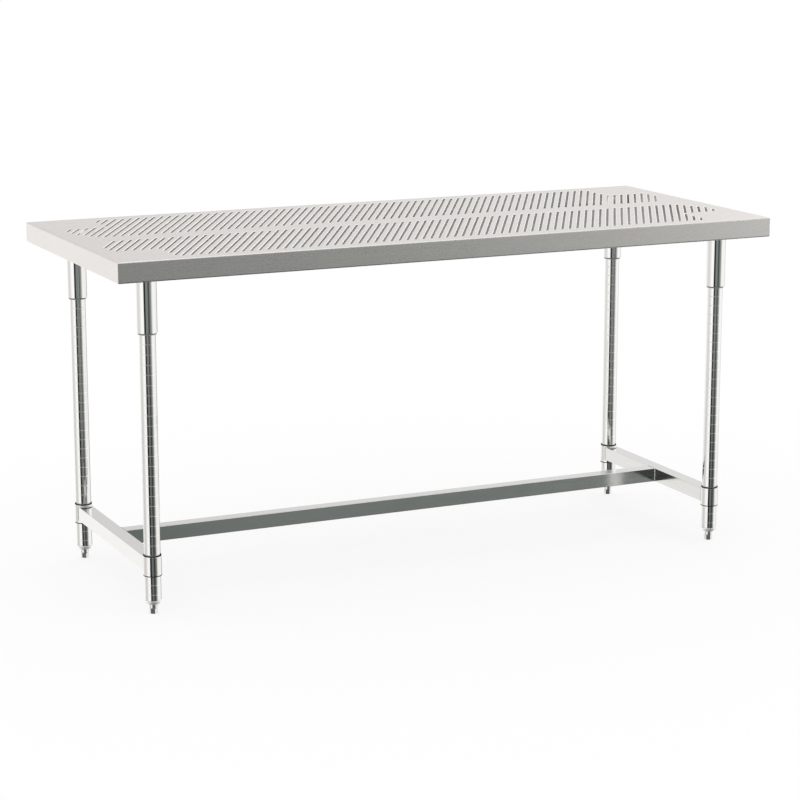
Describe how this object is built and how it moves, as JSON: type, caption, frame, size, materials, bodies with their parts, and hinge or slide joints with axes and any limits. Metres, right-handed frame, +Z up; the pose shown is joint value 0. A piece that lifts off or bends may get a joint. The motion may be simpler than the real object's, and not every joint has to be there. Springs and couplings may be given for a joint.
{
  "type": "stainless steel work table",
  "caption": "Stainless steel work table with a diagonally slotted top, grooved round posts, a height-adjustable H-shaped lower frame and screw levelling feet.",
  "frame": {"origin": "on the floor, under the middle of the table", "axes": "+Z up, +X along the table to the right seen from the front, the front faces -Y"},
  "size_m": [1.8334, 0.76, 0.9063],
  "materials": {
    "top_sheet": "satin",
    "hidden_sheet": "mill",
    "polished_tube": "polished",
    "turned_steel": "plated",
    "grey_ring": "moulded",
    "black_sleeve": "moulded"
  },
  "bodies": {
    "table": {"work_top": "top_sheet", "top_channel": "hidden_sheet", "mounting_plate_front_left": "hidden_sheet", "mounting_plate_front_right": "hidden_sheet", "mounting_plate_rear_left": "hidden_sheet", "mounting_plate_rear_right": "hidden_sheet", "post_socket_front_left": "polished_tube", "post_socket_front_right": "polished_tube", "post_socket_rear_left": "polished_tube", "post_socket_rear_right": "polished_tube", "socket_ring_front_left": "grey_ring", "socket_ring_front_right": "grey_ring", "socket_ring_rear_left": "grey_ring", "socket_ring_rear_right": "grey_ring", "post_front_left": "polished_tube", "post_front_right": "polished_tube", "post_rear_left": "polished_tube", "post_rear_right": "polished_tube", "post_plug_front_left": "turned_steel", "post_plug_front_right": "turned_steel", "post_plug_rear_left": "turned_steel", "post_plug_rear_right": "turned_steel"},
    "lower_frame": {"end_rail_left": "polished_tube", "end_rail_right": "polished_tube", "cross_rail": "polished_tube", "frame_collar_front_left": "polished_tube", "frame_collar_front_right": "polished_tube", "frame_collar_rear_left": "polished_tube", "frame_collar_rear_right": "polished_tube", "sleeve_front_half_front_left": "black_sleeve", "sleeve_front_half_front_right": "black_sleeve", "sleeve_front_half_rear_left": "black_sleeve", "sleeve_front_half_rear_right": "black_sleeve", "sleeve_rear_half_front_left": "black_sleeve", "sleeve_rear_half_front_right": "black_sleeve", "sleeve_rear_half_rear_left": "black_sleeve", "sleeve_rear_half_rear_right": "black_sleeve"},
    "bolt_front_left": {"levelling_bolt_front_left": "turned_steel"},
    "bolt_front_right": {"levelling_bolt_front_right": "turned_steel"},
    "bolt_rear_left": {"levelling_bolt_rear_left": "turned_steel"},
    "bolt_rear_right": {"levelling_bolt_rear_right": "turned_steel"}
  },
  "joints": [
    {"name": "frame_height", "type": "slide", "parent": "table", "child": "lower_frame", "axis": [0, 0, 1], "range_m": [-0.0508, 0.5334]},
    {"name": "level_front_left", "type": "slide", "parent": "table", "child": "bolt_front_left", "axis": [0, 0, -1], "range_m": [0, 0.0254]},
    {"name": "level_front_right", "type": "slide", "parent": "table", "child": "bolt_front_right", "axis": [0, 0, -1], "range_m": [0, 0.0254]},
    {"name": "level_rear_left", "type": "slide", "parent": "table", "child": "bolt_rear_left", "axis": [0, 0, -1], "range_m": [0, 0.0254]},
    {"name": "level_rear_right", "type": "slide", "parent": "table", "child": "bolt_rear_right", "axis": [0, 0, -1], "range_m": [0, 0.0254]}
  ]
}
